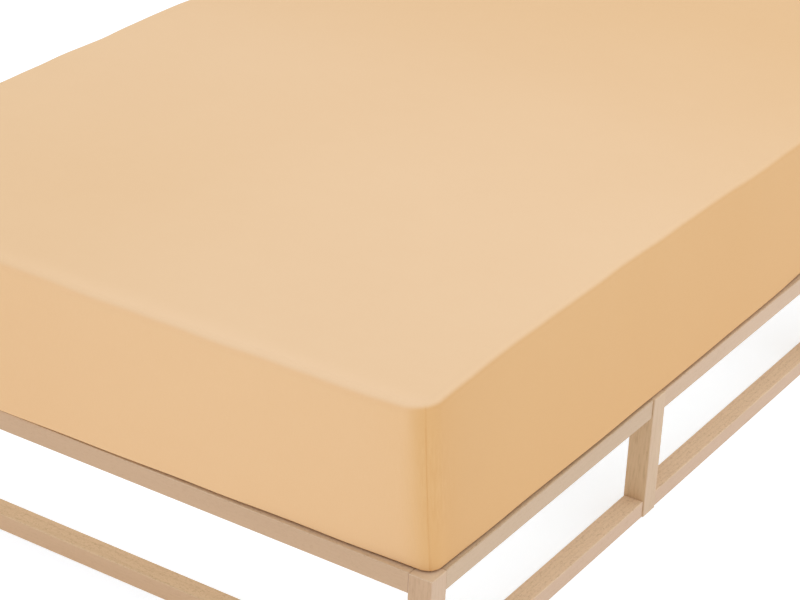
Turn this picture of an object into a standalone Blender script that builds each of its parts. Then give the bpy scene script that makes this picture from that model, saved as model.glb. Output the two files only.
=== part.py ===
"""Fitted sheet stretched over a mattress, on an open box frame of square timber.

Metres, +Z up.  The origin is on the floor under the middle of the bed.
-Y is the foot end, +Y the head end, +X the right-hand long side.
"""
import math
from collections import namedtuple

import bmesh
import bpy

MM = 0.001

# ------------------------------------------------------------------ sizes
FRAME_W = 1.400            # across the outer faces of the side rails
FRAME_L = 2.200            # over the outer faces of the foot and head rails
FRAME_H = 0.2343           # floor to the top of the rails
POST = 0.042               # square posts
RAIL_DEPTH = 0.038         # rails, measured inwards
TOP_RAIL_H = 0.0363
LOW_RAIL_H = 0.0320
POST_PITCH = 0.700         # near face to near face along a long side
CORNER_PROUD = 0.0012      # a corner post stands this far out of the rails
MIDDLE_PROUD = 0.0025      # and a middle post this far
GAP = 0.0003               # between pieces that touch
EASE = 0.0012              # eased arrises of the timber

SLAT_W = 0.070
SLAT_T = 0.015
SLATS_PER_BAY = 4
SLAT_SINK = 0.0005         # the slats end just below the top of the rails
LEDGER = 0.020             # square strip that carries the slat ends

CLOTH = 0.0015             # thickness of the cloth
CLOTH_LIFT = 0.0005        # underside of the cloth above the rails
TUCK = 0.100               # how far the hem reaches in under the mattress
SIDE_H = 0.2764            # mattress and cloth, above the rails
LOW_R = 0.007              # rounding of the lower edge, seen in section
TOP_R = 0.014              # rounding of the upper edge
LOW_CORNER_R = 0.026       # corner rounding in plan, at the lower edge
TOP_CORNER_R = 0.036       # and at the upper edge
CROWN = 0.003              # rise of the top towards its middle
MATTRESS_CLEAR = 0.0005    # between the cloth's inner face and the mattress
MATTRESS_EASE = 0.002      # the mattress is rounder than the cloth by this

# How far the side of the stretched cloth stands inside the outer plane of
# the rails, in millimetres: "low" beside the rail, "high" at the top edge,
# with "along" counted from the corner at which the side begins.
Station = namedtuple("Station", "along low high")
END_SIDE = (               # foot and head, from the right-hand corner (foot)
    Station(0, 12.0, 3.0),
    Station(210, 8.6, -2.0),
    Station(420, 5.0, -2.4),
    Station(630, 1.2, -1.6),
    Station(840, -2.2, 2.6),
    Station(1120, 3.0, 0.0),
    Station(1400, 12.0, 3.0),
)
RIGHT_SIDE = (             # from the foot end
    Station(0, 6.0, 29.0),
    Station(230, 5.2, 38.0),
    Station(560, 3.2, 39.5),
    Station(820, 2.6, 37.0),
    Station(1180, 2.6, 30.0),
    Station(1600, 4.0, 29.0),
    Station(2200, 6.0, 29.0),
)
LEFT_SIDE = (              # from the foot end
    Station(0, 6.0, 29.0),
    Station(560, 4.0, 31.0),
    Station(830, 3.0, 24.0),
    Station(1100, 3.0, 16.0),
    Station(1500, 3.0, 16.0),
    Station(2200, 6.0, 29.0),
)

END_STEPS = 9              # facets along a short side
LONG_STEPS = 12            # and along a long side
CORNER_STEPS = 5           # in each corner

# ------------------------------------------------------------------ start
for old in list(bpy.data.objects):
    bpy.data.objects.remove(old, do_unlink=True)


def material(name, colour, roughness, metallic=0.0):
    made = bpy.data.materials.new(name)
    made.use_nodes = True
    shader = made.node_tree.nodes["Principled BSDF"]
    shader.inputs["Base Color"].default_value = (*colour, 1.0)
    shader.inputs["Roughness"].default_value = roughness
    shader.inputs["Metallic"].default_value = metallic
    return made


CLOTH_COLOUR = (0.84, 0.57, 0.34)
TICKING_COLOUR = (0.82, 0.80, 0.76)
TIMBER_COLOUR = (0.61, 0.43, 0.29)


def add_object(name, mesh, look):
    made = bpy.data.objects.new(name, mesh)
    bpy.context.scene.collection.objects.link(made)
    made.data.materials.append(look)
    return made


# ----------------------------------------------------------------- timber
def timber(name, low, high):
    """A square-cut length of timber with eased arrises."""
    mesh = bpy.data.meshes.new(name)
    shape = bmesh.new()
    bmesh.ops.create_cube(shape, size=1.0)
    for vert in shape.verts:
        vert.co.x *= high[0] - low[0]
        vert.co.y *= high[1] - low[1]
        vert.co.z *= high[2] - low[2]
    bmesh.ops.bevel(shape, geom=list(shape.edges), offset=EASE, segments=1,
                    profile=0.5, affect="EDGES", clamp_overlap=True)
    bmesh.ops.recalc_face_normals(shape, faces=list(shape.faces))
    shape.to_mesh(mesh)
    shape.free()
    made = add_object(name, mesh, material(name, TIMBER_COLOUR, 0.62))
    made.location = [(a + b) / 2 for a, b in zip(low, high)]
    return made


HALF_W = FRAME_W / 2
HALF_L = FRAME_L / 2
SIDES = (("right", 1), ("left", -1))
ENDS = (("foot", -1), ("head", 1))


def ordered(a, b):
    return (min(a, b), max(a, b))


def upright(name, x_range, y_range):
    timber(name, (x_range[0], y_range[0], 0.0),
           (x_range[1], y_range[1], FRAME_H))


for side, sx in SIDES:
    outer = HALF_W + CORNER_PROUD
    x_range = ordered(sx * outer, sx * (outer - POST))
    for end, sy in ENDS:
        outer_y = HALF_L + CORNER_PROUD
        y_range = ordered(sy * outer_y, sy * (outer_y - POST))
        upright(f"post_{end}_{side}", x_range, y_range)
    outer = HALF_W + MIDDLE_PROUD
    x_range = ordered(sx * outer, sx * (outer - POST))
    for end, sy in ENDS:
        near = HALF_L - POST_PITCH
        y_range = ordered(sy * near, sy * (near - POST))
        upright(f"post_middle_{end}_{side}", x_range, y_range)

LEVELS = (
    ("top", FRAME_H - TOP_RAIL_H, FRAME_H),
    ("low", 0.0, LOW_RAIL_H),
)

# Faces between which each bay of a long side lies.
BAYS = (
    ("foot", -HALF_L - CORNER_PROUD + POST, -HALF_L + POST_PITCH),
    ("middle", -HALF_L + POST_PITCH + POST, HALF_L - POST_PITCH - POST),
    ("head", HALF_L - POST_PITCH, HALF_L + CORNER_PROUD - POST),
)

for level, z_low, z_high in LEVELS:
    for side, sx in SIDES:
        x_range = ordered(sx * HALF_W, sx * (HALF_W - RAIL_DEPTH))
        for bay, y_low, y_high in BAYS:
            timber(f"rail_{level}_{side}_{bay}",
                   (x_range[0], y_low + GAP, z_low),
                   (x_range[1], y_high - GAP, z_high))
    reach = HALF_W + CORNER_PROUD - POST - GAP
    for end, sy in ENDS:
        y_range = ordered(sy * HALF_L, sy * (HALF_L - RAIL_DEPTH))
        timber(f"rail_{level}_{end}",
               (-reach, y_range[0], z_low), (reach, y_range[1], z_high))

# Cross rails between the middle posts, level with the top rails.
reach = HALF_W + MIDDLE_PROUD - POST - GAP
for end, sy in ENDS:
    near = HALF_L - POST_PITCH
    y_range = ordered(sy * near, sy * (near - POST))
    timber(f"rail_cross_{end}",
           (-reach, y_range[0] + 0.002, FRAME_H - TOP_RAIL_H),
           (reach, y_range[1] - 0.002, FRAME_H - SLAT_SINK))

# Slats, and the ledgers under their ends.
slat_top = FRAME_H - SLAT_SINK
ledger_top = slat_top - SLAT_T - GAP
inner = HALF_W - RAIL_DEPTH - GAP
for bay, y_low, y_high in BAYS:
    for side, sx in SIDES:
        x_range = ordered(sx * inner, sx * (inner - LEDGER))
        timber(f"ledger_{side}_{bay}",
               (x_range[0], y_low + 0.004, ledger_top - LEDGER),
               (x_range[1], y_high - 0.004, ledger_top))
    clear = (y_high - y_low - SLATS_PER_BAY * SLAT_W) / (SLATS_PER_BAY + 1)
    for index in range(SLATS_PER_BAY):
        start = y_low + clear + index * (SLAT_W + clear)
        timber(f"slat_{bay}_{index + 1}",
               (-inner, start, slat_top - SLAT_T),
               (inner, start + SLAT_W, slat_top))


# ---------------------------------------------------- mattress and sheet
def read(table, along, column):
    """A smooth value between the stations of a table, in metres."""
    along = along / MM
    if along <= table[0].along:
        return getattr(table[0], column) * MM
    for near, far in zip(table, table[1:]):
        if along <= far.along:
            part = (along - near.along) / (far.along - near.along)
            part = part * part * (3 - 2 * part)
            a, b = getattr(near, column), getattr(far, column)
            return (a + (b - a) * part) * MM
    return getattr(table[-1], column) * MM


def inset(table, along, height):
    """How far inside the rails the side stands at a height from 0 to 1."""
    low = read(table, along, "low")
    high = read(table, along, "high")
    return low + (high - low) * height


BASE = FRAME_H + CLOTH_LIFT
TOP = FRAME_H + SIDE_H
SIDE_LOW = BASE + LOW_R     # the flat of a side runs between these heights
SIDE_TOP = TOP - TOP_R


def ring(extra, z):
    """One closed loop round the bed, anticlockwise, from the near corner."""
    height = (z - SIDE_LOW) / (SIDE_TOP - SIDE_LOW)
    height = min(max(height, 0.0), 1.0)
    corner = LOW_CORNER_R + (TOP_CORNER_R - LOW_CORNER_R) * height
    corner = max(corner - extra, 0.004)

    def foot(x):
        return -HALF_L + inset(END_SIDE, HALF_W - x, height) + extra

    def head(x):
        return HALF_L - inset(END_SIDE, HALF_W + x, height) - extra

    def right(y):
        return HALF_W - inset(RIGHT_SIDE, y + HALF_L, height) - extra

    def left(y):
        return -HALF_W + inset(LEFT_SIDE, y + HALF_L, height) + extra

    corners = (
        (right(-HALF_L) - corner, foot(HALF_W) + corner, -90),
        (right(HALF_L) - corner, head(HALF_W) - corner, 0),
        (left(HALF_L) + corner, head(-HALF_W) - corner, 90),
        (left(-HALF_L) + corner, foot(-HALF_W) + corner, 180),
    )
    sides = (
        (LONG_STEPS, lambda part, a, b: (right(a[1] + (b[1] - a[1]) * part),
                                         a[1] + (b[1] - a[1]) * part)),
        (END_STEPS, lambda part, a, b: (a[0] + (b[0] - a[0]) * part,
                                        head(a[0] + (b[0] - a[0]) * part))),
        (LONG_STEPS, lambda part, a, b: (left(a[1] + (b[1] - a[1]) * part),
                                         a[1] + (b[1] - a[1]) * part)),
        (END_STEPS, lambda part, a, b: (a[0] + (b[0] - a[0]) * part,
                                        foot(a[0] + (b[0] - a[0]) * part))),
    )
    points = []
    for index, (cx, cy, start) in enumerate(corners):
        for step in range(CORNER_STEPS + 1):
            angle = math.radians(start + 90 * step / CORNER_STEPS)
            points.append((cx + corner * math.cos(angle),
                           cy + corner * math.sin(angle), z))
        steps, place = sides[index]
        following = corners[(index + 1) % 4]
        for step in range(1, steps):
            x, y = place(step / steps, (cx, cy), following)
            points.append((x, y, z))
    return points


def shrunk(points, scale, rise):
    """A loop drawn in towards the middle of the bed, and raised."""
    return [(x * scale, y * scale, z + rise) for x, y, z in points]


TOP_LOOPS = (0.90, 0.62, 0.32)


def skin_loops(depth, low_r, top_r):
    """Loops of the surface that lies depth inside the cloth's outer face,
    from the lower edge over the side to the middle of the top."""
    low_centre = depth + low_r
    top_centre = depth + top_r
    low_z = BASE + depth + low_r
    top_z = TOP - depth - top_r
    loops = []
    for step in range(4):
        angle = math.radians(90 * step / 3)
        loops.append(ring(low_centre - low_r * math.sin(angle),
                          low_z - low_r * math.cos(angle)))
    for part in (0.33, 0.67):
        loops.append(ring(depth, SIDE_LOW + (SIDE_TOP - SIDE_LOW) * part))
    for step in range(5):
        angle = math.radians(90 * step / 4)
        loops.append(ring(top_centre - top_r * math.cos(angle),
                          top_z + top_r * math.sin(angle)))
    rim = loops[-1]
    for scale in TOP_LOOPS:
        loops.append(shrunk(rim, scale, CROWN * (1 - scale * scale)))
    return loops, (0.0, 0.0, rim[0][2] + CROWN)


def bridge(shape, lower, upper):
    """Two triangles between each pair of neighbours, always cut one way, so
    that the skins lie parallel also where a side is twisted."""
    count = len(lower)
    for i in range(count):
        j = (i + 1) % count
        shape.faces.new((lower[i], lower[j], upper[j]))
        shape.faces.new((lower[i], upper[j], upper[i]))


def join(shape, loops):
    """Make the loops' points and bridge each loop to the next."""
    made = [[shape.verts.new(point) for point in loop] for loop in loops]
    for lower, upper in zip(made, made[1:]):
        bridge(shape, lower, upper)
    return made


def fan(shape, loop, centre):
    middle = shape.verts.new(centre)
    for i, vert in enumerate(loop):
        shape.faces.new((vert, loop[(i + 1) % len(loop)], middle))


def soft_object(name, shape, look):
    bmesh.ops.recalc_face_normals(shape, faces=list(shape.faces))
    mesh = bpy.data.meshes.new(name)
    shape.to_mesh(mesh)
    shape.free()
    mesh.shade_smooth()
    mesh.set_sharp_from_angle(angle=math.radians(50))
    return add_object(name, mesh, look)


# The sheet: an outer and an inner skin, joined at the hem.
shape = bmesh.new()
skins = []
for depth in (0.0, CLOTH):
    loops, top_point = skin_loops(depth, LOW_R - depth, TOP_R - depth)
    made = join(shape, [ring(TUCK, BASE + depth)] + loops)
    fan(shape, made[-1], top_point)
    skins.append(made)
bridge(shape, skins[0][0], skins[1][0])
soft_object("fitted_sheet", shape, material("fitted_sheet", CLOTH_COLOUR, 0.8))

# The mattress: a filled block, everywhere clear of the sheet's inner face.
shape = bmesh.new()
depth = CLOTH + MATTRESS_CLEAR
loops, top_point = skin_loops(depth, LOW_R + MATTRESS_EASE,
                              TOP_R + MATTRESS_EASE)
every = join(shape, loops)
fan(shape, every[-1], top_point)
fan(shape, every[0], (0.0, 0.0, loops[0][0][2]))
soft_object("mattress", shape, material("mattress", TICKING_COLOUR, 0.85))
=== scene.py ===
"""Looks of the fitted sheet on its mattress and timber bed frame.

Metres, +Z up, origin on the floor under the middle of the bed.
-Y is the foot end, +Y the head end, +X the right-hand long side.
"""
import math
from collections import namedtuple

import bpy
import numpy as np
from mathutils import Matrix, Vector


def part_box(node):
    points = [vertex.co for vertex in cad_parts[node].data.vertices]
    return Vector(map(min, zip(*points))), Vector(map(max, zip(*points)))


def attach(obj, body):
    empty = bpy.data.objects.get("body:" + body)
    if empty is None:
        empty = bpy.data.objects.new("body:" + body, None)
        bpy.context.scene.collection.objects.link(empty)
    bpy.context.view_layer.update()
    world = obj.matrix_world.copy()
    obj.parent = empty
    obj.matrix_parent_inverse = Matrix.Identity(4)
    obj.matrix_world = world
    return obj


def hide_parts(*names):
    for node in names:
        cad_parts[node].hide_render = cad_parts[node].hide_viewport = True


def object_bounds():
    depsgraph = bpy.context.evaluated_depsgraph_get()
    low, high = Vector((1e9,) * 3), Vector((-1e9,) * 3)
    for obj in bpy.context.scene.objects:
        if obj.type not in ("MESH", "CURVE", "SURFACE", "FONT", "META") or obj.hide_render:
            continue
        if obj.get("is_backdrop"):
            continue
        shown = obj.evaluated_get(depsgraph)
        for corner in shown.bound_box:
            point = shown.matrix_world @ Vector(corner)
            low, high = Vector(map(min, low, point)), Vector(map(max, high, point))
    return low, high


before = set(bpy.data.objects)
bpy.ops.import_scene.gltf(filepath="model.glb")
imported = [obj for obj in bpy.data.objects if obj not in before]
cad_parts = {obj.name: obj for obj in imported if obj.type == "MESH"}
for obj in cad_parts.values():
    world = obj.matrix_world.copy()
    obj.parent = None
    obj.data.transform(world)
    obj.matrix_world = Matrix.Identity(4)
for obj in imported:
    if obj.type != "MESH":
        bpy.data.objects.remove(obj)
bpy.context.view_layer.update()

MM = 0.001

# ------------------------------------------------------------------ sizes
FRAME_W = 1.400
FRAME_L = 2.200
FRAME_H = 0.2343
POST = 0.042
POST_PITCH = 0.700
HALF_W = FRAME_W / 2
HALF_L = FRAME_L / 2

CLOTH = 0.0012             # thickness of the cloth
CLOTH_LIFT = 0.0005        # underside of the cloth above the rails
HEM_REACH = 0.096          # how far the hem reaches in under the mattress
HEM_W = 0.010              # the sewn tunnel along the hem
HEM_CORNER_R = 0.085       # the elastic draws the hem round at a corner
SIDE_H = 0.2764
LOW_R = 0.0026
EDGE_LIFT = (0.0023, 0.0034)   # lower edge above the rails, at a dart and between
TOP_R = 0.014
LOW_CORNER_R = 0.026
TOP_CORNER_R = 0.050
EDGE_RISE = 0.0016         # the top rises by this close to its edge
CROWN = 0.0014             # and by this towards its middle

# How far the side stands inside the rails' outer plane, in millimetres,
# beside the rail and at the top edge, counted along from a corner.
Station = namedtuple("Station", "along low high")
END_SIDE = (
    Station(0, 12.8, 3.0),
    Station(210, 7.0, -2.0),
    Station(420, 2.8, -2.4),
    Station(630, -1.2, -1.6),
    Station(840, -4.8, 2.6),
    Station(1120, 1.4, 0.0),
    Station(1400, 12.0, 3.0),
)
RIGHT_SIDE = (
    Station(0, 7.0, 29.0),
    Station(230, 4.3, 38.0),
    Station(560, 2.3, 39.5),
    Station(820, 2.4, 37.0),
    Station(1180, 3.7, 30.0),
    Station(1330, 7.2, 29.7),
    Station(1600, 8.0, 29.0),
    Station(2200, 7.0, 29.0),
)
LEFT_SIDE = (
    Station(0, 6.0, 29.0),
    Station(560, 4.0, 31.0),
    Station(830, 3.0, 24.0),
    Station(1100, 3.0, 16.0),
    Station(1500, 3.0, 16.0),
    Station(2200, 6.0, 29.0),
)

# Soft unevenness of the sides: how long a wave is, how far it stands in or
# out beside the rail and at the top edge, and where it starts.
Wave = namedtuple("Wave", "side length_mm low_mm high_mm start_deg")
WAVES = (
    Wave("foot", 236, 0.3, 0.9, 20),
    Wave("foot", 131, 0.1, 0.6, 250),
    Wave("foot", 83, 0.0, 0.25, 130),
    Wave("right", 318, 0.2, 0.7, 75),
    Wave("right", 187, 0.1, 0.4, 310),
    Wave("right", 104, 0.0, 0.2, 160),
    Wave("head", 262, 0.3, 0.9, 110),
    Wave("head", 149, 0.1, 0.6, 10),
    Wave("head", 88, 0.0, 0.25, 280),
    Wave("left", 341, 0.2, 1.0, 210),
    Wave("left", 173, 0.1, 0.7, 60),
    Wave("left", 97, 0.0, 0.3, 330),
)

# The sewn corner darts: how far round the corner the seam lies at the lower
# and at the upper edge, as a share of the corner's arc.
Dart = namedtuple("Dart", "corner low high")
DARTS = (
    Dart(0, 0.465, 0.598),
    Dart(1, 0.470, 0.440),
    Dart(2, 0.520, 0.560),
    Dart(3, 0.485, 0.455),
)

# Fine upright drags beside a dart: distance from the seam (positive towards
# the side that follows anticlockwise), half width, lower and upper end above
# the rails, lean, and depth (positive is a trough), all in millimetres.
Drag = namedtuple("Drag", "off width low high lean depth")
DRAGS = (
    Drag(-34.0, 5.0, 70, 170, 1.5, 0.14),
    Drag(-21.0, 3.2, 60, 190, 1.0, 0.20),
    Drag(-12.5, 2.4, 80, 150, 0.6, 0.22),
    Drag(9.5, 2.2, 66, 214, -0.8, 0.42),
    Drag(15.5, 2.4, 96, 176, -1.0, -0.34),
    Drag(23.0, 2.8, 58, 198, -1.4, 0.42),
    Drag(32.0, 3.0, 104, 182, -2.0, 0.38),
    Drag(43.0, 3.4, 76, 160, -2.6, 0.35),
    Drag(58.0, 4.2, 90, 188, -3.0, 0.28),
    Drag(76.0, 5.0, 84, 150, -3.4, 0.20),
)

# ----------------------------------------------------------------- camera
AZIMUTH, ELEVATION, ROLL = (math.radians(a) for a in (32.2128, 26.5030, 2.6255))
forward = Vector((-math.sin(AZIMUTH) * math.cos(ELEVATION),
                  math.cos(AZIMUTH) * math.cos(ELEVATION),
                  -math.sin(ELEVATION)))
level = forward.cross(Vector((0, 0, 1))).normalized()
above = level.cross(forward)
across = level * math.cos(ROLL) + above * math.sin(ROLL)
upward = above * math.cos(ROLL) - level * math.sin(ROLL)
camera_data = bpy.data.cameras.new("camera")
camera_data.lens = 105.344
camera_data.sensor_width = 36.0
camera_data.clip_start = 0.1
camera_data.clip_end = 100.0
camera = bpy.data.objects.new("camera", camera_data)
bpy.context.scene.collection.objects.link(camera)
axes = Matrix((across, upward, -forward)).transposed()
camera.matrix_world = Matrix.Translation((2.19429, -3.59599, 2.14753)) @ axes.to_4x4()
bpy.context.scene.camera = camera


# ---------------------------------------------------------------- shaping
def smoothstep(low, high, at):
    part = np.clip((np.asarray(at, float) - low) / (high - low), 0.0, 1.0)
    return part * part * (3.0 - 2.0 * part)


def bell(at, width):
    return np.exp(-(np.asarray(at, float) / width) ** 2)


def read(table, along, column):
    """A smooth value between a table's stations, in metres, for an array."""
    along = np.asarray(along, float) / MM
    value = np.full(along.shape, float(getattr(table[0], column)))
    for near, far in zip(table, table[1:]):
        step = smoothstep(near.along, far.along, along)
        value += (getattr(far, column) - getattr(near, column)) * step
    return value * MM


def uneven(side, along, length, height):
    """The soft waves of one side, which die away towards its corners."""
    along = np.asarray(along, float)
    value = np.zeros(along.shape)
    for wave in WAVES:
        if wave.side == side:
            size = wave.low_mm + (wave.high_mm - wave.low_mm) * height
            value += size * np.sin(2 * np.pi * along / (wave.length_mm * MM)
                                   + math.radians(wave.start_deg))
    near = np.minimum(along, length - along)
    return value * MM * smoothstep(0.030, 0.150, near)


BASE = FRAME_H + CLOTH_LIFT
TOP = FRAME_H + SIDE_H
SIDE_LOW = BASE + LOW_R
SIDE_TOP = TOP - TOP_R


def perimeter(arc_parts, near_steps, near_reach, long_step):
    """Stations anticlockwise from the near corner, as (is a side, which,
    part): a corner's arc, then the side that follows it, with stations close
    together beside the corners."""
    rows = []
    for which, length in enumerate((FRAME_L, FRAME_W, FRAME_L, FRAME_W)):
        rows += [(0, which, part) for part in arc_parts]
        clear = length - 0.08
        near = near_reach / clear
        reach = [near * (i / near_steps) ** 1.25 for i in range(1, near_steps + 1)]
        steps = max(int(round((clear - 2 * near_reach) / long_step)), 2)
        middle = [near + (1 - 2 * near) * i / steps for i in range(1, steps)]
        parts = reach + middle + [1 - part for part in reversed(reach)]
        rows += [(1, which, part) for part in parts]
    return rows


class Outline:
    """The plan outline of the stretched cloth, at the given stations."""

    def __init__(self, rows):
        self.kind = np.array([r[0] for r in rows])
        self.which = np.array([r[1] for r in rows])
        self.part = np.array([r[2] for r in rows], float)
        self.key = 2 * self.which + self.kind + self.part
        self.count = len(rows)

    def ring(self, extra, z, corner_r=None):
        """A loop that lies extra inside the side at height z: its points in
        plan, and its outward normals."""
        height = float(np.clip((z - SIDE_LOW) / (SIDE_TOP - SIDE_LOW), 0, 1))

        def inset(side, table, along, length):
            low = read(table, along, "low")
            high = read(table, along, "high")
            return low + (high - low) * height + uneven(side, along, length, height)

        def right(y):
            return HALF_W - extra - inset("right", RIGHT_SIDE, y + HALF_L, FRAME_L)

        def left(y):
            return -HALF_W + extra + inset("left", LEFT_SIDE, y + HALF_L, FRAME_L)

        def foot(x):
            return -HALF_L + extra + inset("foot", END_SIDE, HALF_W - x, FRAME_W)

        def head(x):
            return HALF_L - extra - inset("head", END_SIDE, HALF_W + x, FRAME_W)

        corner = LOW_CORNER_R + (TOP_CORNER_R - LOW_CORNER_R) * height
        corner = max(corner - extra, 0.004) if corner_r is None else corner_r
        centres = []
        for sx, sy in ((1, -1), (1, 1), (-1, 1), (-1, -1)):
            long_side, short_side = (right, left)[sx < 0], (head, foot)[sy < 0]
            cx, cy = sx * HALF_W, sy * HALF_L
            for _ in range(3):
                cx = float(long_side(cy)) - sx * corner
                cy = float(short_side(cx)) - sy * corner
            centres.append((cx, cy))
        points = np.zeros((self.count, 2))
        for which in range(4):
            cx, cy = centres[which]
            nx, ny = centres[(which + 1) % 4]
            arc = (self.kind == 0) & (self.which == which)
            part = self.part[arc]
            dart = DARTS[which]
            aim = dart.low + (dart.high - dart.low) * height
            part = part + (aim - 0.5) * 4 * part * (1 - part)
            angle = np.radians(-90 + 90 * which + 90 * part)
            points[arc, 0] = cx + corner * np.cos(angle)
            points[arc, 1] = cy + corner * np.sin(angle)
            run = (self.kind == 1) & (self.which == which)
            part = self.part[run]
            if which in (0, 2):
                y = cy + (ny - cy) * part
                points[run, 0] = (right, left)[which == 2](y)
                points[run, 1] = y
            else:
                x = cx + (nx - cx) * part
                points[run, 0] = x
                points[run, 1] = (head, foot)[which == 3](x)
        step = np.roll(points, -1, 0) - np.roll(points, 1, 0)
        step /= np.linalg.norm(step, axis=1)[:, None]
        return points, np.stack([step[:, 1], -step[:, 0]], 1)

    def measure(self):
        """Along the cloth at half height: the signed distance from the
        nearest dart, the dart's number, and the length from the start."""
        points, _ = self.ring(0.0, (SIDE_LOW + SIDE_TOP) / 2)
        steps = np.linalg.norm(np.roll(points, -1, 0) - points, axis=1)
        total = float(steps.sum())
        length = np.concatenate([[0.0], np.cumsum(steps)[:-1]])
        best = np.full(self.count, 1e9)
        nearest = np.zeros(self.count, int)
        for which in range(4):
            seam = np.interp(2 * which + 0.5, self.key, length)
            away = (length - seam + total / 2) % total - total / 2
            closer = np.abs(away) < np.abs(best)
            best = np.where(closer, away, best)
            nearest = np.where(closer, which, nearest)
        return best, nearest, length, total

    def lift(self):
        """How far the lower edge stands above the rails: the darts pull it
        down, and it rises between them."""
        away = np.abs(self.measure()[0])
        low, high = EDGE_LIFT
        return low + (high - low) * smoothstep(0.010, 0.300, away)


class Body:
    """Collects loops of points and the faces between them."""

    def __init__(self):
        self.points, self.faces, self.extra = [], [], []
        self.total = 0

    def loop(self, points, **columns):
        """Adds a loop and returns where it starts."""
        start = self.total
        self.points.append(np.asarray(points, float))
        self.extra.append(columns)
        self.total += len(points)
        return start

    def bridge(self, a, b, count, turned=False):
        i = np.arange(count)
        j = (i + 1) % count
        faces = np.stack([a + i, a + j, b + j, b + i], 1)
        self.faces += (faces[:, ::-1] if turned else faces).tolist()

    def weave(self, a, keys_a, b, keys_b, turned=False):
        """Triangles between two loops with different stations."""
        na, nb = len(keys_a), len(keys_b)
        i = j = 0
        while i < na or j < nb:
            next_a = keys_a[i + 1] if i + 1 < na else 8.0 + keys_a[0]
            next_b = keys_b[j + 1] if j + 1 < nb else 8.0 + keys_b[0]
            if j >= nb or (i < na and next_a <= next_b):
                face = (a + i % na, a + (i + 1) % na, b + j % nb)
                i += 1
            else:
                face = (a + i % na, b + (j + 1) % nb, b + j % nb)
                j += 1
            self.faces.append(face[::-1] if turned else face)

    def cap(self, start, count, centre, turned=False, **columns):
        middle = self.loop([centre], **columns)
        for i in range(count):
            face = (start + i, start + (i + 1) % count, middle)
            self.faces.append(face[::-1] if turned else face)

    def build(self, name, columns=()):
        mesh = bpy.data.meshes.new(name)
        mesh.from_pydata(np.concatenate(self.points).tolist(), [], self.faces)
        mesh.update()
        mesh.shade_smooth()
        for column, kind in columns:
            parts = []
            for points, extra in zip(self.points, self.extra):
                value = np.asarray(extra.get(column, 0.0), float)
                shape = (len(points),) + ((3,) if kind == "FLOAT_VECTOR" else ())
                parts.append(np.broadcast_to(value, shape))
            data = np.concatenate(parts).astype(np.float32).ravel()
            made = mesh.attributes.new(column, kind, "POINT")
            made.data.foreach_set("vector" if kind == "FLOAT_VECTOR" else "value", data)
        made = bpy.data.objects.new(name, mesh)
        bpy.context.scene.collection.objects.link(made)
        return made


# ------------------------------------------------------------------ sheet
def arc_stations(fine):
    """Parts of a corner's arc, with close stations beside the seam."""
    if not fine:
        return [i / 10 for i in range(11)]
    arc = 0.050
    offsets = (0.45, 0.95, 1.5, 2.1, 2.8, 3.6, 4.6, 5.8, 7.4)
    parts = {0.5}
    for off in offsets:
        parts |= {0.5 - off * MM / arc, 0.5 + off * MM / arc}
    edge = offsets[-1] * MM / arc
    steps = 8
    for i in range(steps):
        parts |= {(0.5 - edge) * i / steps, 1 - (0.5 - edge) * i / steps}
    return sorted(parts)


FINE = Outline(perimeter(arc_stations(True), 24, 0.100, 0.022))
COARSE = Outline(perimeter(arc_stations(False), 5, 0.090, 0.046))
HEM = Outline(perimeter([i / 14 for i in range(15)], 12, 0.055, 0.0056))
seam_off, seam_of, run_length, run_total = FINE.measure()


def relief(z, tilt):
    """How far the outer face stands out, in metres, for every fine station:
    the dart's groove and its shoulders, and the drags beside it."""
    s = seam_off / MM
    above_rail = (z - FRAME_H) / MM
    over = 1.0 - smoothstep(35, 80, tilt)
    under = smoothstep(-88, -40, tilt)
    pull = 1 + 0.30 * np.sin(2 * np.pi * above_rail / 13.1 + 2.0 * seam_of)
    pull += 0.22 * np.sin(2 * np.pi * above_rail / 8.7 + 1.1 + seam_of)
    groove = -0.32 * bell(s, 0.95)
    shoulders = 0.14 * pull * (bell(s - 3.3, 1.9) + 0.8 * bell(s + 3.1, 1.7))
    broad = 0.30 * bell(s, 11.0)
    value = (groove + shoulders + broad) * over * under
    foot_bulge = 0.50 * bell(s - 1.0, 6.5) * bell(above_rail - 17, 13) * under
    value = value + foot_bulge
    for number, drag in enumerate(DRAGS):
        # Each corner wears its own drags: every other one is turned round.
        turn = np.where(seam_of % 2 == 0, 1.0, -1.0)
        size = 1.0 + 0.35 * np.sin(1.7 * number + 2.3 * seam_of)
        middle = (drag.low + drag.high) / 2
        reach = (drag.high - drag.low) / 2
        at = s * turn - drag.off - drag.lean * (above_rail - middle) / reach
        lift = np.exp(-np.abs((above_rail - middle) / reach) ** 3)
        value = value - drag.depth * size * bell(at, drag.width) * lift
    return value * MM


def profile(depth, low_steps, side_levels, top_steps):
    """(extra, z, tilt, share) from the flat under the lower edge to the rim
    of the top; tilt is how far the outward normal looks up, in degrees, and
    share is how much of the lower edge's lift the loop takes part in."""
    low_r, top_r = LOW_R - depth, TOP_R - depth
    found = [(LOW_R + inward * MM, BASE + depth, -90.0, share)
             for inward, share in ((10.5, 0.0), (6.5, 0.30), (2.8, 0.80))]
    for i in range(low_steps + 1):
        angle = math.radians(90 * i / low_steps)
        found.append((LOW_R - low_r * math.sin(angle),
                      BASE + LOW_R - low_r * math.cos(angle),
                      -90 + 90.0 * i / low_steps, 1.0))
    for i in range(1, side_levels):
        z = SIDE_LOW + (SIDE_TOP - SIDE_LOW) * i / side_levels
        found.append((depth, z, 0.0, 1.0 - float(smoothstep(0.0, 0.060, z - SIDE_LOW))))
    for i in range(top_steps + 1):
        angle = math.radians(90 * i / top_steps)
        found.append((TOP_R - top_r * math.cos(angle),
                      TOP - TOP_R + top_r * math.sin(angle), 90.0 * i / top_steps, 0.0))
    return found


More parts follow.
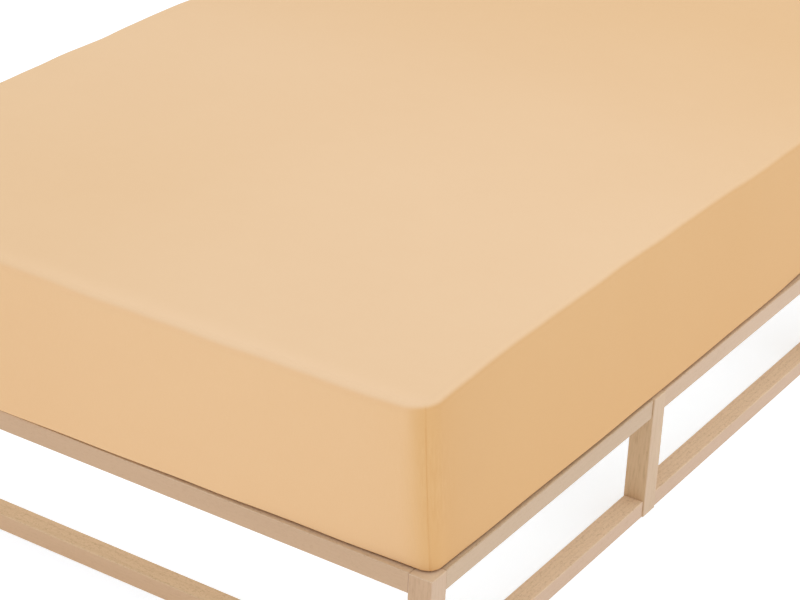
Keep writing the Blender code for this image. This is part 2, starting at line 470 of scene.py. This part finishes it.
def top_rise(x, y, inward, scale):
    """How far the top stands above its rim, in metres."""
    rise = EDGE_RISE * (1 - np.exp(-inward / 0.055)) + CROWN * (1 - scale ** 2)
    soft = 0.30 * np.sin(2 * np.pi * (x / 0.47 + y / 0.93) + 0.6)
    soft = soft + 0.24 * np.sin(2 * np.pi * (x / 0.61 - y / 0.52) + 2.1)
    soft = soft + 0.14 * np.sin(2 * np.pi * (x / 0.29 + y / 0.41) + 4.0)
    return rise + soft * MM * smoothstep(0.0, 0.12, inward)


MIDDLE_RISE = float(top_rise(0.0, 0.0, HALF_W, 0.0))


def top_loops(rim, scales):
    """Loops from the rim towards the middle of the top, a little uneven."""
    loops = []
    for scale in scales:
        plan = rim[:, :2] * scale
        inward = np.linalg.norm(rim[:, :2] - plan, axis=1)
        rise = top_rise(plan[:, 0], plan[:, 1], inward, scale)
        loops.append(np.column_stack([plan, rim[:, 2] + rise]))
    return loops


def gathers(length, reach):
    """Height of the gathers under the mattress, in metres: none at the
    lower edge, and the most along the hem."""
    at = length / MM
    phase = 2 * np.pi * at / 30.0 + 1.3 * np.sin(2 * np.pi * at / 233)
    phase = phase + 0.9 * np.sin(2 * np.pi * at / 97 + 1.0)
    size = 1.35 + 0.4 * np.sin(2 * np.pi * at / 311 + 0.5)
    size = size + 0.25 * np.sin(2 * np.pi * at / 71)
    fold = (0.5 + 0.5 * np.sin(phase)) ** 1.4
    return size * fold * MM * smoothstep(0.016, HEM_REACH - 0.012, reach)


def hem_loops(depth):
    """Loops under the mattress, from just inside the lower edge to the hem,
    as (reach, points).  The hem is turned over into a sewn tunnel."""
    tunnel = HEM_REACH - HEM_W
    reaches = (0.017, 0.028, 0.040, 0.052, 0.063, 0.073, 0.080,
               tunnel - 0.0022, tunnel - 0.0006, tunnel + 0.0012,
               tunnel + 0.0045, HEM_REACH - 0.0018, HEM_REACH - 0.0004)
    found = []
    for reach in reaches:
        part = float(smoothstep(LOW_R, HEM_REACH, reach))
        corner = (LOW_CORNER_R - LOW_R) + (HEM_CORNER_R - LOW_CORNER_R + LOW_R) * part
        plan, _ = HEM.ring(reach, SIDE_LOW, corner)
        z = BASE + 0.0002 + gathers(hem_length, reach)
        z = z + 0.0007 * float(smoothstep(0.017, 0.060, reach))
        swell = 0.0
        if reach > tunnel:
            at = (reach - tunnel - HEM_W / 2) / (HEM_W / 2)
            swell = math.sqrt(max(0.0, 1 - at * at))
        if depth == 0.0:
            stitch = 0.00035 if abs(reach - tunnel + 0.0006) < 1e-6 else 0.0
            z = z - 0.0009 * swell + stitch
        else:
            z = z + CLOTH + 0.0006 * swell
        found.append((reach, np.column_stack([plan, z])))
    return found


plan, _ = HEM.ring(0.050, SIDE_LOW)
steps = np.linalg.norm(np.roll(plan, -1, 0) - plan, axis=1)
hem_length = np.concatenate([[0.0], np.cumsum(steps)[:-1]])

# Where each station lies on the flat, uncut cloth: the four sides folded
# out from the top, each from dart to dart.
middles = [np.interp(2 * which + 1.5, FINE.key, run_length) for which in range(4)]


def flat_place(drop):
    """The place on the flat cloth of every fine station, drop metres down
    its side from the rim of the top."""
    side = np.where(seam_off >= 0, seam_of, (seam_of + 3) % 4)
    along = run_length - np.array(middles)[side]
    along = (along + run_total / 2) % run_total - run_total / 2
    out_x, out_y = HALF_W - 0.03 + drop, HALF_L - 0.01 + drop
    x = np.choose(side, [out_x + 0 * along, -along, -out_x + 0 * along, along])
    y = np.choose(side, [along, out_y + 0 * along, -along, -out_y + 0 * along])
    return np.column_stack([x, y, np.zeros_like(x)])


seam_near = np.minimum(np.abs(seam_off), 0.4)
sheet_body = Body()
levels = profile(0.0, 6, 58, 10)
drops = [0.0]
for above, below in zip(levels[::-1], levels[::-1][1:]):
    drops.append(drops[-1] + math.hypot(above[0] - below[0], above[1] - below[1]))
drops = drops[::-1]
starts = []
fine_lift = FINE.lift()
for (extra, z, tilt, share), drop in zip(levels, drops):
    plan, normal = FINE.ring(extra, z)
    out = relief(z, tilt)
    up = math.radians(tilt)
    points = np.column_stack([plan + normal * (out * math.cos(up))[:, None],
                              z + out * math.sin(up) + share * fine_lift])
    starts.append(sheet_body.loop(points, seam=seam_near, flat=flat_place(drop),
                                  drop=drop))
    rim = points
for a, b in zip(starts, starts[1:]):
    sheet_body.bridge(a, b, FINE.count)
SCALES = (0.9955, 0.988, 0.978, 0.965, 0.948, 0.925, 0.89, 0.84, 0.77, 0.68, 0.57,
          0.44, 0.30, 0.15)
last = starts[-1]
for points in top_loops(rim, SCALES):
    start = sheet_body.loop(points, seam=seam_near, flat=points * (1, 1, 0), drop=-0.01)
    sheet_body.bridge(last, start, FINE.count)
    last = start
sheet_body.cap(last, FINE.count, (0.0, 0.0, TOP + MIDDLE_RISE), seam=0.4, drop=-0.01)
previous = None
outer_hem = []
for reach, points in hem_loops(0.0):
    start = sheet_body.loop(points, seam=0.4, flat=points * (1, 1, 0),
                            drop=drops[0] + reach)
    outer_hem.append(start)
    if previous is None:
        sheet_body.weave(start, HEM.key, starts[0], FINE.key)
    else:
        sheet_body.bridge(start, previous, HEM.count)
    previous = start

# The inner skin, coarser, closes the cloth.
inner = []
coarse_lift = COARSE.lift()
for extra, z, _, share in profile(CLOTH, 4, 7, 6):
    plan, _ = COARSE.ring(extra, z)
    inner.append(sheet_body.loop(np.column_stack([plan, z + share * coarse_lift]),
                                 seam=0.4, drop=-0.01))
    inner_rim = sheet_body.points[-1]
for a, b in zip(inner, inner[1:]):
    sheet_body.bridge(a, b, COARSE.count, turned=True)
last = inner[-1]
for points in top_loops(inner_rim, (0.988, 0.965, 0.925, 0.84, 0.68, 0.44, 0.2)):
    start = sheet_body.loop(points, seam=0.4, drop=-0.01)
    sheet_body.bridge(last, start, COARSE.count, turned=True)
    last = start
sheet_body.cap(last, COARSE.count, (0.0, 0.0, TOP - CLOTH + MIDDLE_RISE),
               turned=True, seam=0.4)
previous = None
for reach, points in hem_loops(CLOTH):
    start = sheet_body.loop(points, seam=0.4, flat=points * (1, 1, 0),
                            drop=drops[0] + reach)
    if previous is None:
        sheet_body.weave(start, HEM.key, inner[0], COARSE.key, turned=True)
    else:
        sheet_body.bridge(start, previous, HEM.count, turned=True)
    previous = start
sheet_body.bridge(previous, outer_hem[-1], HEM.count)
sheet = sheet_body.build("sheet_cloth", (("seam", "FLOAT"), ("drop", "FLOAT"),
                                         ("flat", "FLOAT_VECTOR")))

# --------------------------------------------------------------- mattress
# A padded block in its ticking.  Its underside is pressed up a little by
# the hem all round, and bulges softly between the slats.
TICKING_CLEAR = 0.0006
MATTRESS = Outline(perimeter(arc_stations(False), 5, 0.090, 0.024))
BAYS = ((-HALF_L + POST, -HALF_L + POST_PITCH),
        (-HALF_L + POST_PITCH + POST, HALF_L - POST_PITCH - POST),
        (HALF_L - POST_PITCH, HALF_L - POST))
SLAT_W, SLATS_PER_BAY = 0.070, 4
slats = []
for low, high in BAYS:
    clear = (high - low - SLATS_PER_BAY * SLAT_W) / (SLATS_PER_BAY + 1)
    slats += [low + clear + i * (SLAT_W + clear) + SLAT_W / 2
              for i in range(SLATS_PER_BAY)]
slats = np.array(slats)


def sag(y):
    """How far the ticking bulges down between the slats, in metres."""
    away = np.abs(y[:, None] - slats[None, :]).min(1)
    return 0.0012 * smoothstep(SLAT_W / 2 - 0.008, SLAT_W / 2 + 0.020, away)


depth = CLOTH + TICKING_CLEAR
mattress_body = Body()
mattress_rings = []
UNDER = BASE + 0.0050
low_r, top_r = 0.010, TOP_R + 0.002 - depth
for i in range(6):
    angle = math.radians(90 * i / 5)
    mattress_rings.append((depth + low_r - low_r * math.sin(angle),
                           UNDER + low_r - low_r * math.cos(angle)))
for i in range(1, 8):
    mattress_rings.append((depth, UNDER + low_r
                           + (SIDE_TOP - 0.002 - UNDER - low_r) * i / 8))
for i in range(7):
    angle = math.radians(90 * i / 6)
    mattress_rings.append((depth + top_r - top_r * math.cos(angle),
                           TOP - depth - top_r + top_r * math.sin(angle)))
made = []
for extra, z in mattress_rings:
    plan, _ = MATTRESS.ring(extra, z)
    made.append(mattress_body.loop(np.column_stack([plan, np.full(MATTRESS.count, z)])))
    mattress_rim = mattress_body.points[-1]
for a, b in zip(made, made[1:]):
    mattress_body.bridge(a, b, MATTRESS.count)
last = made[-1]
for points in top_loops(mattress_rim, (0.988, 0.965, 0.925, 0.84, 0.68, 0.44, 0.2)):
    start = mattress_body.loop(points)
    mattress_body.bridge(last, start, MATTRESS.count)
    last = start
mattress_body.cap(last, MATTRESS.count, (0.0, 0.0, TOP - depth + MIDDLE_RISE))
last = made[0]
foot_ring = mattress_body.points[0]
for scale in (0.985, 0.955, 0.915, 0.875, 0.845, 0.815, 0.75, 0.66, 0.56, 0.45, 0.33,
              0.2, 0.09):
    plan = foot_ring[:, :2] * scale
    inside = np.minimum(HALF_W - np.abs(plan[:, 0]), HALF_L - np.abs(plan[:, 1]))
    within = smoothstep(HEM_REACH + 0.036, HEM_REACH + 0.075, inside)
    z = UNDER - (0.0032 + sag(plan[:, 1])) * within
    start = mattress_body.loop(np.column_stack([plan, z]))
    mattress_body.bridge(start, last, MATTRESS.count)
    last = start
mattress_body.cap(last, MATTRESS.count, (0.0, 0.0, UNDER - 0.0032 - 0.0006), turned=True)
mattress = mattress_body.build("mattress_ticking")


# -------------------------------------------------------------- materials
class Look:
    """A node material under construction."""

    def __init__(self, name):
        self.material = bpy.data.materials.new(name)
        self.material.use_nodes = True
        self.tree = self.material.node_tree
        self.shader = self.tree.nodes["Principled BSDF"]

    def set(self, **values):
        for name, value in values.items():
            self.shader.inputs[name.replace("_", " ")].default_value = value

    def put(self, socket, value):
        if isinstance(value, bpy.types.NodeSocket):
            self.tree.links.new(value, socket)
        else:
            socket.default_value = value

    def math(self, operation, a, b=None, c=None, clamp=False):
        node = self.tree.nodes.new("ShaderNodeMath")
        node.operation = operation
        node.use_clamp = clamp
        for socket, value in zip(node.inputs, (a, b, c)):
            if value is not None:
                self.put(socket, value)
        return node.outputs[0]

    def range(self, value, low, high, to_low=0.0, to_high=1.0, smooth=True):
        node = self.tree.nodes.new("ShaderNodeMapRange")
        node.interpolation_type = "SMOOTHSTEP" if smooth else "LINEAR"
        for socket, number in zip(node.inputs, (value, low, high, to_low, to_high)):
            self.put(socket, number)
        return node.outputs[0]

    def mix(self, factor, a, b, blend="MIX"):
        node = self.tree.nodes.new("ShaderNodeMix")
        node.data_type = "RGBA"
        node.blend_type = blend
        self.put(node.inputs[0], factor)
        self.put(node.inputs[6], (*a, 1.0) if isinstance(a, tuple) else a)
        self.put(node.inputs[7], (*b, 1.0) if isinstance(b, tuple) else b)
        return node.outputs[2]

    def attribute(self, name, output="Fac"):
        node = self.tree.nodes.new("ShaderNodeAttribute")
        node.attribute_name = name
        return node.outputs[output]

    def place(self):
        return self.tree.nodes.new("ShaderNodeTexCoord").outputs["Object"]

    def normal(self):
        return self.tree.nodes.new("ShaderNodeNewGeometry").outputs["Normal"]

    def split(self, vector):
        node = self.tree.nodes.new("ShaderNodeSeparateXYZ")
        self.put(node.inputs[0], vector)
        return node.outputs[0], node.outputs[1], node.outputs[2]

    def join(self, x, y, z):
        node = self.tree.nodes.new("ShaderNodeCombineXYZ")
        for socket, value in zip(node.inputs, (x, y, z)):
            self.put(socket, value)
        return node.outputs[0]

    def mapped(self, vector, location=(0, 0, 0), rotation=(0, 0, 0), scale=(1, 1, 1)):
        node = self.tree.nodes.new("ShaderNodeMapping")
        self.put(node.inputs[0], vector)
        node.inputs["Location"].default_value = location
        node.inputs["Rotation"].default_value = rotation
        node.inputs["Scale"].default_value = scale
        return node.outputs[0]

    def noise(self, vector, scale, detail=2.0, roughness=0.5, distortion=0.0):
        node = self.tree.nodes.new("ShaderNodeTexNoise")
        self.put(node.inputs["Vector"], vector)
        node.inputs["Scale"].default_value = scale
        node.inputs["Detail"].default_value = detail
        node.inputs["Roughness"].default_value = roughness
        node.inputs["Distortion"].default_value = distortion
        return node.outputs[0]

    def bump(self, height, distance, strength=1.0, normal=None):
        node = self.tree.nodes.new("ShaderNodeBump")
        node.inputs["Strength"].default_value = strength
        node.inputs["Distance"].default_value = distance
        self.put(node.inputs["Height"], height)
        if normal is not None:
            self.put(node.inputs["Normal"], normal)
        return node.outputs[0]


# Colours of the cloth by the way it faces, painted light and shade: it is palest on top,
# and the sides are deeper, most of all along the two long sides.
CLOTH_TOP_PAINTED_LIGHT = (0.822, 0.580, 0.357)
CLOTH_END_PAINTED_SHADE = (0.790, 0.502, 0.266)
CLOTH_LONG_PAINTED_SHADE = (0.716, 0.430, 0.197)
# Painted shade round the corner darts.
CLOTH_CORNER_PAINTED_SHADE = (0.745, 0.452, 0.208)


def cloth_look():
    look = Look("apricot_knit")
    look.set(Roughness=0.86, Specular_IOR_Level=0.22, Sheen_Weight=0.04,
             Sheen_Roughness=0.5)
    nx, ny, nz = look.split(look.normal())
    x, y, z = look.split(look.place())
    flat = look.attribute("flat", "Vector")
    fx, fy, _ = look.split(flat)
    side = look.attribute("seam")
    # Which way the cloth faces picks its painted light and shade.
    long_side = look.range(look.math("ABSOLUTE", nx), 0.25, 0.92)
    facing_up = look.range(nz, 0.34, 0.93)
    # Painted shade round each corner dart: deeper near the seam, in a band that grows
    # wider towards the rails and fades out slowly along the sides.
    reach = look.range(z, FRAME_H, TOP, 0.074, 0.022, smooth=False)
    corner_painted_shade = look.range(look.math("DIVIDE", side, reach), 0.0, 1.0, 1.0, 0.0)
    colour = look.mix(long_side, CLOTH_END_PAINTED_SHADE, CLOTH_LONG_PAINTED_SHADE)
    colour = look.mix(corner_painted_shade, colour, CLOTH_CORNER_PAINTED_SHADE)
    corner_wide_painted_shade = look.range(side, 0.0, 0.30, 1.0, 0.0)
    corner_wide_painted_shade = look.math("MULTIPLY", corner_wide_painted_shade, look.range(long_side, 0.0, 1.0, 0.30, 1.0))
    colour = look.mix(corner_wide_painted_shade, colour, look.mix(1.0, colour, (0.975, 0.960, 0.935),
                                              "MULTIPLY"))
    # More painted shade close to the dart, strongest on the long sides.
    close = look.range(side, 0.0, 0.110, 1.0, 0.0)
    close = look.math("MULTIPLY", close, look.range(long_side, 0.0, 1.0, 0.45, 1.0))
    colour = look.mix(close, colour, look.mix(1.0, colour, (0.992, 0.965, 0.905),
                                              "MULTIPLY"))
    # And a little deeper towards the rails.
    low = look.range(z, FRAME_H, TOP, 1.0, 0.0, smooth=False)
    colour = look.mix(low, colour, look.mix(1.0, colour, (0.990, 0.968, 0.945),
                                            "MULTIPLY"))
    # The top warms a little away from its near corner: towards the head, and
    # along the foot edge.
    top = look.mix(look.range(y, -0.50, 0.90), CLOTH_TOP_PAINTED_LIGHT, (0.770, 0.508, 0.272))
    edge = look.math("MULTIPLY", look.range(x, -0.30, 0.40, 1.0, 0.0),
                     look.range(y, -0.80, 0.10, 1.0, 0.0))
    top = look.mix(edge, top, look.mix(1.0, top, (0.980, 0.957, 0.908), "MULTIPLY"))
    colour = look.mix(facing_up, colour, top)
    # Painted highlight: the rounded rim of the two ends is a little paler.
    rim = look.math("MULTIPLY", look.range(nz, 0.02, 0.40),
                    look.range(look.math("ABSOLUTE", y), HALF_L - 0.058, HALF_L - 0.006))
    colour = look.mix(rim, colour, look.mix(1.0, colour, (1.030, 1.038, 1.062),
                                            "MULTIPLY"))
    # Dye and yarn are never quite even.
    broad = look.noise(look.place(), 2.6, 2.0)
    middle = look.noise(look.place(), 21.0, 3.0)
    streak = look.noise(look.mapped(flat, scale=(900.0, 60.0, 1.0)), 1.0, 2.0)
    yarn = look.noise(look.mapped(flat, scale=(420.0, 700.0, 1.0)), 1.0, 1.0)
    shade = look.math("ADD", look.range(broad, 0.3, 0.7, 0.992, 1.008, smooth=False),
                      look.range(middle, 0.3, 0.7, -0.005, 0.005, smooth=False))
    shade = look.math("ADD", shade, look.range(streak, 0.3, 0.7, -0.008, 0.008,
                                               smooth=False))
    shade = look.math("ADD", shade, look.range(yarn, 0.3, 0.7, -0.010, 0.010,
                                               smooth=False))
    # Fine upright puckers beside the dart, at mid height; their light and dark streaks in
    # the colour are painted shade, and they also go into the bump.
    pucker = look.noise(look.join(look.math("MULTIPLY", side, 290.0),
                                  look.math("MULTIPLY", z, 34.0),
                                  look.math("MULTIPLY", nx, 2.0)), 1.0, 2.0, 0.6)
    puckered = look.math("MULTIPLY", look.range(z, FRAME_H + 0.03, FRAME_H + 0.09),
                         look.range(z, TOP - 0.09, TOP - 0.02, 1.0, 0.0))
    puckered = look.math("MULTIPLY", puckered, look.range(side, 0.010, 0.080, 1.0, 0.0))
    puckered = look.math("MULTIPLY", puckered,
                         look.range(long_side, 0.0, 1.0, 0.30, 1.0))
    shade = look.math("ADD", shade, look.math(
        "MULTIPLY", puckered, look.range(pucker, 0.3, 0.7, -0.042, 0.042, smooth=False)))
    # Painted shade of the seam's groove: a fine dark line, widest where it meets the
    # rails.
    width = look.range(z, FRAME_H, FRAME_H + 0.045, 0.0050, 0.0016)
    depth = look.range(z, FRAME_H + 0.06, FRAME_H + 0.13, 0.935, 0.895)
    depth = look.math("MAXIMUM", depth, look.range(z, TOP - 0.10, TOP - 0.03, 0.0, 0.94))
    line = look.range(look.math("DIVIDE", side, width), 0.15, 1.0, depth, 1.0)
    line = look.math("MAXIMUM", line, look.range(nz, 0.10, 0.60))
    shade = look.math("MULTIPLY", shade, line)
    shade_colour = look.join(look.math("POWER", shade, 0.5), shade,
                             look.math("POWER", shade, 1.7))
    look.put(look.shader.inputs["Base Color"],
             look.mix(1.0, colour, shade_colour, "MULTIPLY"))
    # Fine knit: upright wales, and shorter courses across them.
    wale = look.math("SINE", look.math("MULTIPLY", fx, 2 * math.pi / 0.0011))
    course = look.math("SINE", look.math("MULTIPLY", fy, 2 * math.pi / 0.0008))
    knit = look.math("ADD", look.math("MULTIPLY", wale, 0.6),
                     look.math("MULTIPLY", course, 0.4))
    height = look.math("ADD", look.math("MULTIPLY", knit, 0.5),
                       look.math("MULTIPLY", yarn, 1.2))
    height = look.math("ADD", height, look.math("MULTIPLY", middle, 1.0))
    # Stitches draw the seam in at even steps.
    stitch = look.math("SINE", look.math("MULTIPLY", z, 2 * math.pi / 0.0036))
    stitch = look.math("MULTIPLY", stitch, look.range(side, 0.0005, 0.0050, 1.0, 0.0))
    height = look.math("ADD", height, stitch)
    height = look.math("ADD", height, look.math(
        "MULTIPLY", puckered, look.math("MULTIPLY", pucker, 12.0)))
    normal = look.bump(height, 0.00010, 0.55)
    look.put(look.shader.inputs["Normal"], normal)
    rough = look.range(middle, 0.3, 0.7, 0.83, 0.90, smooth=False)
    look.put(look.shader.inputs["Roughness"], rough)
    return look.material


def ticking_look():
    look = Look("mattress_ticking")
    look.set(Specular_IOR_Level=0.25, Sheen_Weight=0.05, Sheen_Roughness=0.5)
    place = look.place()
    x, y, z = look.split(place)
    broad = look.noise(place, 5.0, 3.0)
    yarn = look.noise(look.mapped(place, scale=(900, 160, 400)), 1.0, 2.0)
    colour = look.mix(look.range(broad, 0.3, 0.7), (0.80, 0.78, 0.74), (0.85, 0.83, 0.79))
    colour = look.mix(look.range(yarn, 0.35, 0.65, 0.0, 0.35), colour, (0.70, 0.68, 0.64))
    look.put(look.shader.inputs["Base Color"], colour)
    # Twill lines, and a shallow quilting of wide diamonds.
    twill = look.math("SINE", look.math("MULTIPLY", look.math("ADD", x, y),
                                        2 * math.pi / 0.0016))
    one = look.math("ABSOLUTE", look.math("SINE", look.math(
        "MULTIPLY", look.math("ADD", x, y), math.pi / 0.12)))
    two = look.math("ABSOLUTE", look.math("SINE", look.math(
        "MULTIPLY", look.math("SUBTRACT", x, y), math.pi / 0.12)))
    quilt = look.math("POWER", look.math("MULTIPLY", one, two), 0.35)
    fine = look.bump(look.math("ADD", look.math("MULTIPLY", twill, 0.4), yarn),
                     0.00012, 0.6)
    look.put(look.shader.inputs["Normal"], look.bump(quilt, 0.0016, 0.8, fine))
    look.put(look.shader.inputs["Roughness"],
             look.range(broad, 0.3, 0.7, 0.80, 0.90, smooth=False))
    return look.material


# The timber's colours by the way a face looks, painted light and shade: paler on the faces
# that look along X, and deeper and more figured on the others.
TIMBER_PAINTED_LIGHT_X = (0.593, 0.411, 0.274)
TIMBER_PAINTED_LIGHT_Y = (0.546, 0.353, 0.214)
TIMBER_PAINTED_LIGHT_Z = (0.585, 0.405, 0.265)
# Painted light: the flat top and under faces are lifted paler, by group of pieces, and so
# are the middle posts' faces that look along Y. No two boards have quite the same tone.
FLAT_PAINTED_LIGHT = (1.11, 1.19, 1.23)
TOP_RIGHT_FLAT_PAINTED_LIGHT = (1.00, 1.04, 1.04)
LOW_RAIL_FLAT_PAINTED_LIGHT = (1.13, 1.21, 1.19)
LOW_RIGHT_FLAT_PAINTED_LIGHT = (1.23, 1.32, 1.32)
MIDDLE_POST_Y_PAINTED_LIGHT = (1.05, 1.085, 1.047)
BOARDS = {
    "rail_low_foot": (1.030, 1.014, 0.985),
    "rail_low_right_foot": (1.030, 1.020, 1.045),
    "rail_low_right_middle": (1.030, 1.020, 1.045),
    "post_middle_foot_right": (1.030, 1.044, 1.032),
    "post_foot_right": (0.988, 0.976, 0.970),
    "rail_top_right_foot": (0.955, 0.970, 0.955),
    "rail_top_head": (0.970, 0.960, 0.945),
    "rail_low_left_middle": (0.975, 0.980, 0.970),
    "post_head_left": (1.020, 1.015, 1.010),
}


def timber_look(name, axis, number, lift, centre):
    """Pale open-grained hardwood whose grain runs along an axis, 0 to 2.
    Every piece is cut from another place, which number chooses."""
    look = Look("timber_" + name)
    look.set(Specular_IOR_Level=0.28)
    order = ((axis + 1) % 3, (axis + 2) % 3, axis)
    parts = look.split(look.place())
    nx, ny, nz = look.split(look.normal())
    board = look.mapped(look.join(*(parts[i] for i in order)),
                        location=tuple(-centre[i] for i in order))
    moved = look.mapped(board, location=(0.37 * number % 1.9, 0.61 * number % 1.7,
                                         0.83 * number % 2.3))
    # The heart of the tree lies off the board and leans, so that the year
    # rings draw long arches on one face and lines on the next.
    heart = look.mapped(board,
                        location=(0.045 + 0.02 * math.sin(3.1 * number),
                                  0.062 + 0.02 * math.cos(2.2 * number), 0.0),
                        rotation=(math.radians(2.2 + 1.9 * math.sin(2.4 * number)),
                                  math.radians(1.8 * math.cos(1.7 * number)), 0.0))
    wander = look.noise(look.mapped(moved, scale=(9.0, 9.0, 2.2)), 1.0, 3.0, 0.55)
    hx, hy, _ = look.split(heart)
    reach = look.math("SQRT", look.math("ADD", look.math("MULTIPLY", hx, hx),
                                        look.math("MULTIPLY", hy, hy)))
    reach = look.math("ADD", reach, look.math("MULTIPLY", wander, 0.022))
    ring = look.math("FRACT", look.math("MULTIPLY", reach, 1 / 0.0062))
    late = look.range(ring, 0.55, 0.98)
    # Open pores, short dark strokes along the grain, most in the early wood.
    # They are shorter on the rails than on the straight-grained posts.
    short, long = (210.0, 120.0) if axis != 2 else (46.0, 30.0)
    stroke = look.noise(look.mapped(moved, scale=(520.0, 520.0, short)), 1.0, 3.0, 0.65,
                        0.4)
    fleck = look.noise(look.mapped(moved, scale=(240.0, 240.0, long)), 1.0, 3.0, 0.6,
                       1.4 if axis != 2 else 0.3)
    cloud = look.noise(look.mapped(moved, scale=(7.0, 7.0, 1.6)), 1.0, 2.0)
    fibre = look.noise(look.mapped(moved, scale=(1500.0, 1500.0, 18.0)), 1.0, 1.0)
    # Painted light on the middle posts' faces that look along Y.
    middle_post_painted_light = MIDDLE_POST_Y_PAINTED_LIGHT if name.startswith("post_middle") else (1.0, 1.0, 1.0)
    # Painted light and shade: the base colour follows the way each face looks.
    base = look.mix(look.range(look.math("ABSOLUTE", nx), 0.3, 0.8),
                    tuple(c * k for c, k in zip(TIMBER_PAINTED_LIGHT_Y, middle_post_painted_light)), TIMBER_PAINTED_LIGHT_X)
    # Painted light: lift makes the flat top and under faces paler.
    base = look.mix(look.range(look.math("ABSOLUTE", nz), 0.3, 0.8), base,
                    tuple(c * k for c, k in zip(TIMBER_PAINTED_LIGHT_Z, lift)))
    if name in BOARDS:
        base = look.mix(1.0, base, BOARDS[name], "MULTIPLY")
    figured = look.math("ABSOLUTE", nz) if axis != 2 else look.math("ABSOLUTE", ny)
    figured = look.range(figured, 0.3, 0.8, 0.22, 0.75 if axis != 2 else 0.55)
    pores = look.range(stroke, 0.52, 0.70)
    flecks = look.range(fleck, 0.50, 0.68)
    dark = look.math("ADD", look.math("MULTIPLY", pores, 0.17),
                     look.math("MULTIPLY", flecks, 0.20))
    dark = look.math("ADD", dark, look.math("MULTIPLY", late, 0.07))
    dark = look.math("MULTIPLY", dark, figured)
    dark = look.math("ADD", dark, look.range(cloud, 0.3, 0.7, -0.035, 0.035,
                                             smooth=False))
    dark = look.math("ADD", dark, look.range(fibre, 0.3, 0.7, -0.012, 0.012,
                                             smooth=False))
    shade = look.math("SUBTRACT", 1.04, dark)
    shade_colour = look.join(shade, look.math("POWER", shade, 1.2),
                             look.math("POWER", shade, 1.45))
    look.put(look.shader.inputs["Base Color"],
             look.mix(1.0, base, shade_colour, "MULTIPLY"))
    height = look.math("ADD", look.math("MULTIPLY", pores, -1.0),
                       look.math("MULTIPLY", fibre, 0.4))
    height = look.math("ADD", height, look.math("MULTIPLY", late, 0.25))
    look.put(look.shader.inputs["Normal"], look.bump(height, 0.00012, 0.5))
    look.put(look.shader.inputs["Roughness"],
             look.range(dark, 0.0, 0.3, 0.56, 0.70, smooth=False))
    return look.material


sheet.data.materials.append(cloth_look())
mattress.data.materials.append(ticking_look())
for number, name in enumerate(sorted(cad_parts)):
    if name in ("fitted_sheet", "mattress"):
        continue
    if name.startswith("post_"):
        axis = 2
    elif name.startswith("ledger_") or "_right" in name or "_left" in name:
        axis = 1
    else:
        axis = 0
    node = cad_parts[name]
    box_low, box_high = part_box(name)
    # Painted light for the flat faces, by group of pieces.
    lift = LOW_RAIL_FLAT_PAINTED_LIGHT if name.startswith("rail_low") else FLAT_PAINTED_LIGHT
    if name.startswith("rail_low_right"):
        lift = LOW_RIGHT_FLAT_PAINTED_LIGHT
    elif name.startswith("rail_top_right"):
        lift = TOP_RIGHT_FLAT_PAINTED_LIGHT
    look = timber_look(name, axis, number, lift, (box_low + box_high) / 2)
    if node.material_slots:
        for slot in node.material_slots:
            slot.material = look
    else:
        node.data.materials.append(look)

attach(sheet, "root")
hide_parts("fitted_sheet")
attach(mattress, "root")
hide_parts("mattress")


# ------------------------------------------------------------ floor, light
def floor_look():
    material = bpy.data.materials.new("floor")
    material.use_nodes = True
    tree = material.node_tree
    tree.nodes.clear()
    out = tree.nodes.new("ShaderNodeOutputMaterial")
    add = tree.nodes.new("ShaderNodeAddShader")
    diffuse = tree.nodes.new("ShaderNodeBsdfDiffuse")
    glow = tree.nodes.new("ShaderNodeEmission")
    diffuse.inputs["Color"].default_value = (0.72, 0.81, 0.91, 1)
    glow.inputs["Strength"].default_value = 0.45
    tree.links.new(diffuse.outputs[0], add.inputs[0])
    tree.links.new(glow.outputs[0], add.inputs[1])
    tree.links.new(add.outputs[0], out.inputs[0])
    return material


floor_mesh = bpy.data.meshes.new("floor")
floor_mesh.from_pydata([(-30, -30, 0), (30, -30, 0), (30, 30, 0), (-30, 30, 0)], [],
                       [(0, 1, 2, 3)])
floor = bpy.data.objects.new("floor", floor_mesh)
bpy.context.scene.collection.objects.link(floor)
floor.data.materials.append(floor_look())
floor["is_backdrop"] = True

world = bpy.data.worlds.new("studio")
bpy.context.scene.world = world
world.use_nodes = True
background = world.node_tree.nodes["Background"]
background.inputs["Color"].default_value = (1, 1, 1, 1)
background.inputs["Strength"].default_value = 0.92


def softbox(name, place, aim, size, energy, seen=True):
    light = bpy.data.lights.new(name, "AREA")
    light.shape = "RECTANGLE"
    light.size, light.size_y = size
    light.energy = energy
    made = bpy.data.objects.new(name, light)
    made.location = place
    made.rotation_mode = "QUATERNION"
    made.rotation_quaternion = (Vector(aim) - Vector(place)).to_track_quat("-Z", "Y")
    made.visible_camera = seen
    bpy.context.scene.collection.objects.link(made)
    return made


softbox("softbox_top", (1.2, 1.0, 4.0), (0.0, 0.0, 0.3), (3.0, 3.0), 22)
for number, (start, end) in enumerate(BAYS):
    middle_y = (start + end) / 2
    softbox("softbox_under_%d" % (number + 1), (-0.030, middle_y, 0.190),
            (-0.030, middle_y, 0.0), (1.08, end - start - 0.10), 0.80, False)

bpy.context.scene.view_settings.view_transform = "Standard"

low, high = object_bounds()
